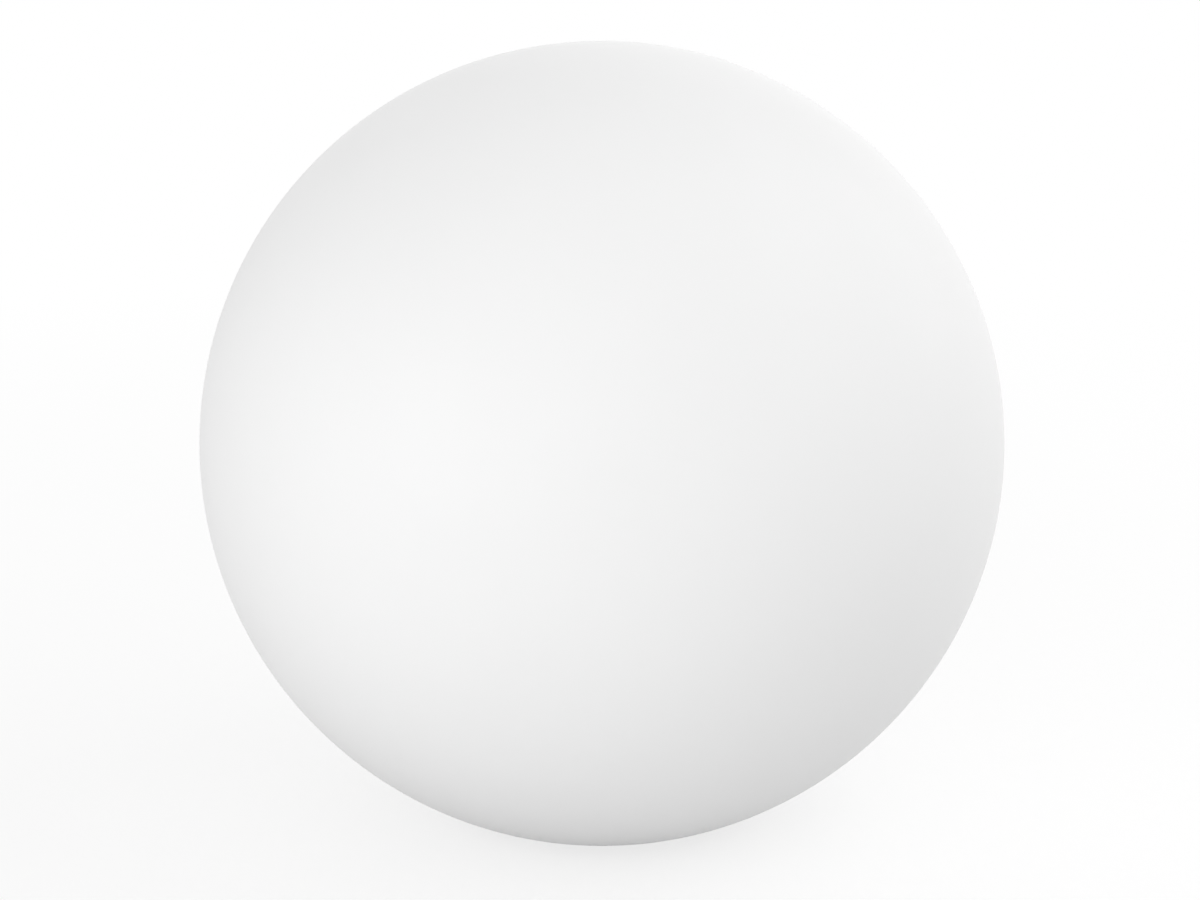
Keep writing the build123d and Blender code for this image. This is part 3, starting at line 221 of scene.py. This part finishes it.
def mixed(tree, share, first, second):
    """Two shaders, of which the second takes the given share."""
    node = tree.nodes.new("ShaderNodeMixShader")
    tree.links.new(share, node.inputs[0])
    tree.links.new(first.outputs[0], node.inputs[1])
    tree.links.new(second.outputs[0], node.inputs[2])
    return node.outputs[0]


def tint(tree, value, colour, change):
    """The colour, a little darker and lighter where the noise value says."""
    mix = tree.nodes.new("ShaderNodeMix")
    mix.data_type = "RGBA"
    mix.inputs[MIX_FIRST].default_value = [channel * (1 - change) for channel in colour] + [1]
    mix.inputs[MIX_SECOND].default_value = [min(1, channel * (1 + change)) for channel in colour] + [1]
    tree.links.new(spread(tree, value, 0, 1), mix.inputs[MIX_SHARE])
    return mix.outputs[MIX_RESULT]


def bump(tree, shader, height, depth):
    relief = tree.nodes.new("ShaderNodeBump")
    relief.inputs["Distance"].default_value = depth
    tree.links.new(height, relief.inputs["Height"])
    tree.links.new(relief.outputs["Normal"], shader.inputs["Normal"])


def scatter(shader, share, depth, tint_of_light=(1, 1, 1)):
    """Lets a share of the light into the skin, down to about the given depth."""
    shader.inputs["Subsurface Weight"].default_value = share
    shader.inputs["Subsurface Radius"].default_value = tint_of_light
    shader.inputs["Subsurface Scale"].default_value = depth


# Procedural materials
def surface(name, colour, roughness, mottle, patch=0.03, grain=0.0006, depth=0.00001, squeeze=(1, 1, 1),
            metallic=0.0, vary=0.06):
    """A material whose colour changes by the mottle in patches, with an uneven gloss and a fine grain."""
    made, tree, shader = new_material(name)
    tree.links.new(tint(tree, noise(tree, patch), colour, mottle), shader.inputs["Base Color"])
    patches = noise(tree, patch / GLOSS_FINENESS, PATCH_DETAIL, squeeze)
    tree.links.new(spread(tree, patches, roughness - vary, roughness + vary), shader.inputs["Roughness"])
    bump(tree, shader, noise(tree, grain, SMOOTH_DETAIL, squeeze), depth)
    shader.inputs["Metallic"].default_value = metallic
    return made


def globe_material():
    """White polyethylene: satin, with the faint ripple of a rotated mould."""
    made, tree, shader = new_material("globe_plastic")
    clouds = noise(tree, CLOUD_SIZE, SMOOTH_DETAIL)
    tree.links.new(tint(tree, clouds, GLOBE_WHITE, CLOUD_CHANGE), shader.inputs["Base Color"])
    gloss = spread(tree, noise(tree, GLOSS_SIZE), GLOSS_LOW, GLOSS_HIGH)
    tree.links.new(gloss, shader.inputs["Roughness"])
    bump(tree, shader, noise(tree, RIPPLE_SIZE, SMOOTH_DETAIL), RIPPLE_DEPTH)
    shader.inputs["Coat Weight"].default_value = COAT_WEIGHT
    shader.inputs["Coat Roughness"].default_value = COAT_ROUGHNESS
    scatter(shader, GLOBE_SCATTER, GLOBE_SCATTER_DEPTH)
    return made


materials = {"globe_plastic": globe_material()}
for slot, finish in FINISHES.items():
    materials[slot] = surface(slot, **finish)
opal = materials["bulb_diffuser"].node_tree.nodes["Principled BSDF"]
scatter(opal, OPAL_SCATTER, OPAL_SCATTER_DEPTH, OPAL_SCATTER_TINT)
for name, part in parts.items():
    part.data.materials.clear()
    part.data.materials.append(materials[slot_of[name]])


# Turned forms
def arc(centre_r, centre_z, radius, start, end):
    """Points of a profile from one angle to another, counted from the outward direction."""
    steps = max(ROUND_STEPS, ceil(abs((end - start) * radius) / ARC_STEP))
    angles = [start + (end - start) * step / steps for step in range(steps + 1)]
    return [(centre_r + radius * cos(angle), centre_z + radius * sin(angle)) for angle in angles]


def lathe(profile, sides, closed=False):
    """Vertices and faces of a turned profile. A third number in a point swings its ring with the thread."""
    vertices = []
    rings = []
    for radius, z, *swing in profile:
        count = sides if radius > 0 else 1
        rings.append(range(len(vertices), len(vertices) + count))
        for side in range(count):
            angle = tau * side / sides
            reach = radius + sum(swing) * cos(tau * z / THREAD_PITCH - angle)
            vertices.append((reach * cos(angle), reach * sin(angle), z))
    faces = []
    pairs = list(zip(rings, rings[1:]))
    if closed:
        pairs.append((rings[-1], rings[0]))
    for first, second in pairs:
        for side in range(sides):
            after = side + 1
            corners = [
                first[side % len(first)],
                first[after % len(first)],
                second[after % len(second)],
                second[side % len(second)],
            ]
            faces.append(list(dict.fromkeys(corners)))
    return vertices, faces


def add(name, data):
    """A new object in the scene."""
    made = bpy.data.objects.new(name, data)
    bpy.context.scene.collection.objects.link(made)
    return made


def piece(name, vertices, faces, body, slot, replaced=None):
    """A smooth-shaded piece that rides on a body and takes the finish of a slot."""
    mesh = bpy.data.meshes.new(name)
    mesh.from_pydata(vertices, [], faces)
    shape = bmesh.new()
    shape.from_mesh(mesh)
    bmesh.ops.recalc_face_normals(shape, faces=shape.faces)
    shape.to_mesh(mesh)
    shape.free()
    mesh.shade_smooth()
    mesh.set_sharp_from_angle(angle=radians(SHARP_ANGLE))
    mesh.materials.append(materials[slot])
    made = add(name, mesh)
    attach(made, body)
    if replaced:
        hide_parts(replaced)


def joined(solids):
    """Vertices and faces of several solids as one list each."""
    vertices = []
    faces = []
    for solid_vertices, solid_faces in solids:
        start = len(vertices)
        vertices += solid_vertices
        faces += [[start + corner for corner in face] for face in solid_faces]
    return vertices, faces


def neck_reach(above):
    """Outer radius of the neck ring above a height."""
    points = [vertex.co for vertex in parts["neck_ring"].data.vertices if vertex.co.z > above]
    return max(sqrt(point.x**2 + point.y**2) for point in points)


def threaded(low, high, radius, swing):
    """Profile points of a threaded wall between two heights, with the thread faded out at both ends."""
    count = ceil(abs(high - low) / THREAD_PITCH * THREAD_STEPS)
    points = []
    for row in range(count + 1):
        z = low + (high - low) * row / count
        fade = min(1, abs(z - low) / THREAD_PITCH, abs(high - z) / THREAD_PITCH)
        points.append((radius, z, swing * fade))
    return points


# Globe: the moulded shell, from the top of its outside round the rim to the top of its inside
rim_z = globe_low.z
seat_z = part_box("neck_gasket")[1].z
floor_z = seat_z + GLOBE_WALL
seat_r = neck_reach(rim_z) + FIT_GAP
opening_r = neck_reach(seat_z) + FIT_GAP
inner_radius = GLOBE_RADIUS - GLOBE_WALL
round_z = rim_z + RIM_ROUND
round_r = sqrt((GLOBE_RADIUS - RIM_ROUND) ** 2 - (globe_z - round_z) ** 2)
round_angle = asin((round_z - globe_z) / (GLOBE_RADIUS - RIM_ROUND))
inside_z = floor_z + INSIDE_ROUND
inside_r = sqrt((inner_radius - INSIDE_ROUND) ** 2 - (globe_z - inside_z) ** 2)
inside_angle = asin((inside_z - globe_z) / (inner_radius - INSIDE_ROUND))
outside = arc(0, globe_z, GLOBE_RADIUS, pi / 2, round_angle)
inside = arc(0, globe_z, inner_radius, inside_angle, pi / 2)
shell_profile = (
    [(0, globe_z + GLOBE_RADIUS)]
    + outside[1:]
    + arc(round_r, round_z, RIM_ROUND, round_angle, -pi / 2)[1:]
    + [(seat_r, rim_z), (seat_r, seat_z), (opening_r, seat_z), (opening_r, floor_z)]
    + arc(inside_r, inside_z, INSIDE_ROUND, -pi / 2, inside_angle)
    + inside[1:-1]
    + [(0, globe_z + inner_radius)]
)
piece("globe_shell", *lathe(shell_profile, GLOBE_SIDES), "globe_body", "globe_plastic", "globe")

# Bosses inside the globe that hold the threaded inserts, flared where they grow out of its floor
boss_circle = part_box("neck_inserts")[1].x - INSERT_RADIUS
boss_round = BOSS_FLARE / 2
boss_profile = (
    [(0, floor_z)]
    + arc(BOSS_RADIUS + BOSS_FLARE, floor_z + BOSS_FLARE, -BOSS_FLARE, pi / 2, 0)
    + arc(BOSS_RADIUS - boss_round, floor_z + BOSS_HEIGHT - boss_round, boss_round, 0, pi / 2)
    + [(0, floor_z + BOSS_HEIGHT)]
)
boss_vertices, boss_faces = lathe(boss_profile, BOSS_SIDES)
bosses = []
for number in range(BOSSES):
    boss_x = boss_circle * cos(tau * number / BOSSES)
    boss_y = boss_circle * sin(tau * number / BOSSES)
    bosses.append(([(x + boss_x, y + boss_y, z) for x, y, z in boss_vertices], boss_faces))
piece("insert_bosses", *joined(bosses), "globe_body", "globe_plastic")

# Screw cap of the bulb: thin sheet with a rolled thread
cap_low, cap_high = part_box("bulb_cap")
swing = THREAD_DEPTH / 2
cap_mean = cap_high.x - swing
cap_profile = (
    threaded(cap_low.z, cap_high.z, cap_mean, swing)
    + threaded(cap_high.z, cap_low.z, cap_mean - SHEET, swing)
)
cap_shape = lathe(cap_profile, THREAD_SIDES, closed=True)
piece("threaded_cap", *cap_shape, "bulb_body", "plated_brass", "bulb_cap")

# Threaded sleeve of the lampholder, with a foot that is riveted to the contact block
sleeve_low, sleeve_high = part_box("thread_sleeve")
sleeve_mean = cap_mean + THREAD_GAP
foot_r = sleeve_high.x - SLEEVE_SHEET - SLEEVE_FOOT
foot_top = sleeve_low.z + SHEET
sleeve_profile = (
    [(foot_r, foot_top), (foot_r, sleeve_low.z)]
    + threaded(sleeve_low.z, sleeve_high.z, sleeve_mean + SHEET, swing)
    + threaded(sleeve_high.z, foot_top, sleeve_mean, swing)
)
sleeve_shape = lathe(sleeve_profile, THREAD_SIDES, closed=True)
piece("threaded_sleeve", *sleeve_shape, "base", "plated_brass", "thread_sleeve")


# Studio: a pale floor, a white surround and soft lights
def plain_white(tree):
    """1 where the camera, a reflection or clear glass looks straight at the surround, and else 0."""
    path = tree.nodes.new("ShaderNodeLightPath")
    seen = combine(tree, "MAXIMUM", path.outputs["Is Camera Ray"], path.outputs["Is Glossy Ray"])
    return combine(tree, "MAXIMUM", seen, path.outputs["Is Transmission Ray"])


def make_world():
    world = bpy.data.worlds.new("studio")
    bpy.context.scene.world = world
    world.use_nodes = True
    tree = world.node_tree
    light = tree.nodes["Background"]
    white = tree.nodes.new("ShaderNodeBackground")
    for background, strength in ((light, AMBIENT), (white, 1.0)):
        background.inputs["Color"].default_value = (1, 1, 1, 1)
        background.inputs["Strength"].default_value = strength
    surround = mixed(tree, plain_white(tree), light, white)
    tree.links.new(surround, tree.nodes["World Output"].inputs["Surface"])


def make_floor():
    """A pale floor that shows some light and shadow near the lamp and fades to plain white further off."""
    half = FLOOR_SIZE / 2
    mesh = bpy.data.meshes.new("floor")
    corners = [(-half, -half, 0), (half, -half, 0), (half, half, 0), (-half, half, 0)]
    mesh.from_pydata(corners, [], [(0, 1, 2, 3)])
    made, tree, shader = new_material("floor")
    shader.inputs["Roughness"].default_value = 1.0
    shader.inputs["Specular IOR Level"].default_value = 0.0
    seen = plain_white(tree)
    tree.links.new(ramp(tree, seen, FLOOR_BOUNCE, FLOOR_PALE), shader.inputs["Base Color"])
    place = tree.nodes.new("ShaderNodeTexCoord")
    reach = tree.nodes.new("ShaderNodeVectorMath")
    reach.operation = "LENGTH"
    tree.links.new(place.outputs["Object"], reach.inputs[0])
    share = ramp(tree, reach.outputs["Value"], 1 - SHADOW_SHARE, 1.0, SHADOW_NEAR, SHADOW_FAR)
    white = tree.nodes.new("ShaderNodeEmission")
    look = mixed(tree, combine(tree, "MULTIPLY", seen, share), shader, white)
    tree.links.new(look, tree.nodes["Material Output"].inputs["Surface"])
    mesh.materials.append(made)
    floor = add("floor", mesh)


def aim(thing, azimuth, elevation, distance):
    """Puts a light or the camera round the globe, facing it. Azimuth 0 is in front and 90 on the right."""
    around = radians(azimuth)
    above = radians(elevation)
    towards = Vector((sin(around) * cos(above), -cos(around) * cos(above), sin(above)))
    thing.location = globe_centre + towards * distance
    thing.rotation_euler = towards.to_track_quat("Z", "Y").to_euler()


def make_softbox(name, azimuth, elevation, distance, width, height, brightness):
    light = bpy.data.lights.new(name, "AREA")
    light.shape = "RECTANGLE"
    light.size = width
    light.size_y = height
    light.energy = brightness * pi * width * height  # power of a sheet of that brightness
    lamp = add(name, light)
    lamp.visible_camera = False
    aim(lamp, azimuth, elevation, distance)


def make_camera():
    """Aimed at the globe's middle. The shift puts the ball where the photograph has it."""
    focal_px = BALL_OUTLINE * sqrt(CAMERA_DISTANCE**2 - GLOBE_RADIUS**2) / GLOBE_RADIUS
    data = bpy.data.cameras.new("camera")
    data.sensor_width = SENSOR_WIDTH
    data.lens = focal_px / PHOTO_WIDTH * SENSOR_WIDTH
    data.shift_x = (PHOTO_WIDTH / 2 - BALL_CENTRE_X) / PHOTO_WIDTH
    data.shift_y = (BALL_CENTRE_Y - PHOTO_HEIGHT / 2) / PHOTO_WIDTH
    camera = add("camera", data)
    aim(camera, 0, CAMERA_ELEVATION, CAMERA_DISTANCE)
    bpy.context.scene.camera = camera


make_world()
make_floor()
for name, settings in SOFTBOXES.items():
    make_softbox(name, *settings)
make_camera()
bpy.context.scene.view_settings.view_transform = "Standard"
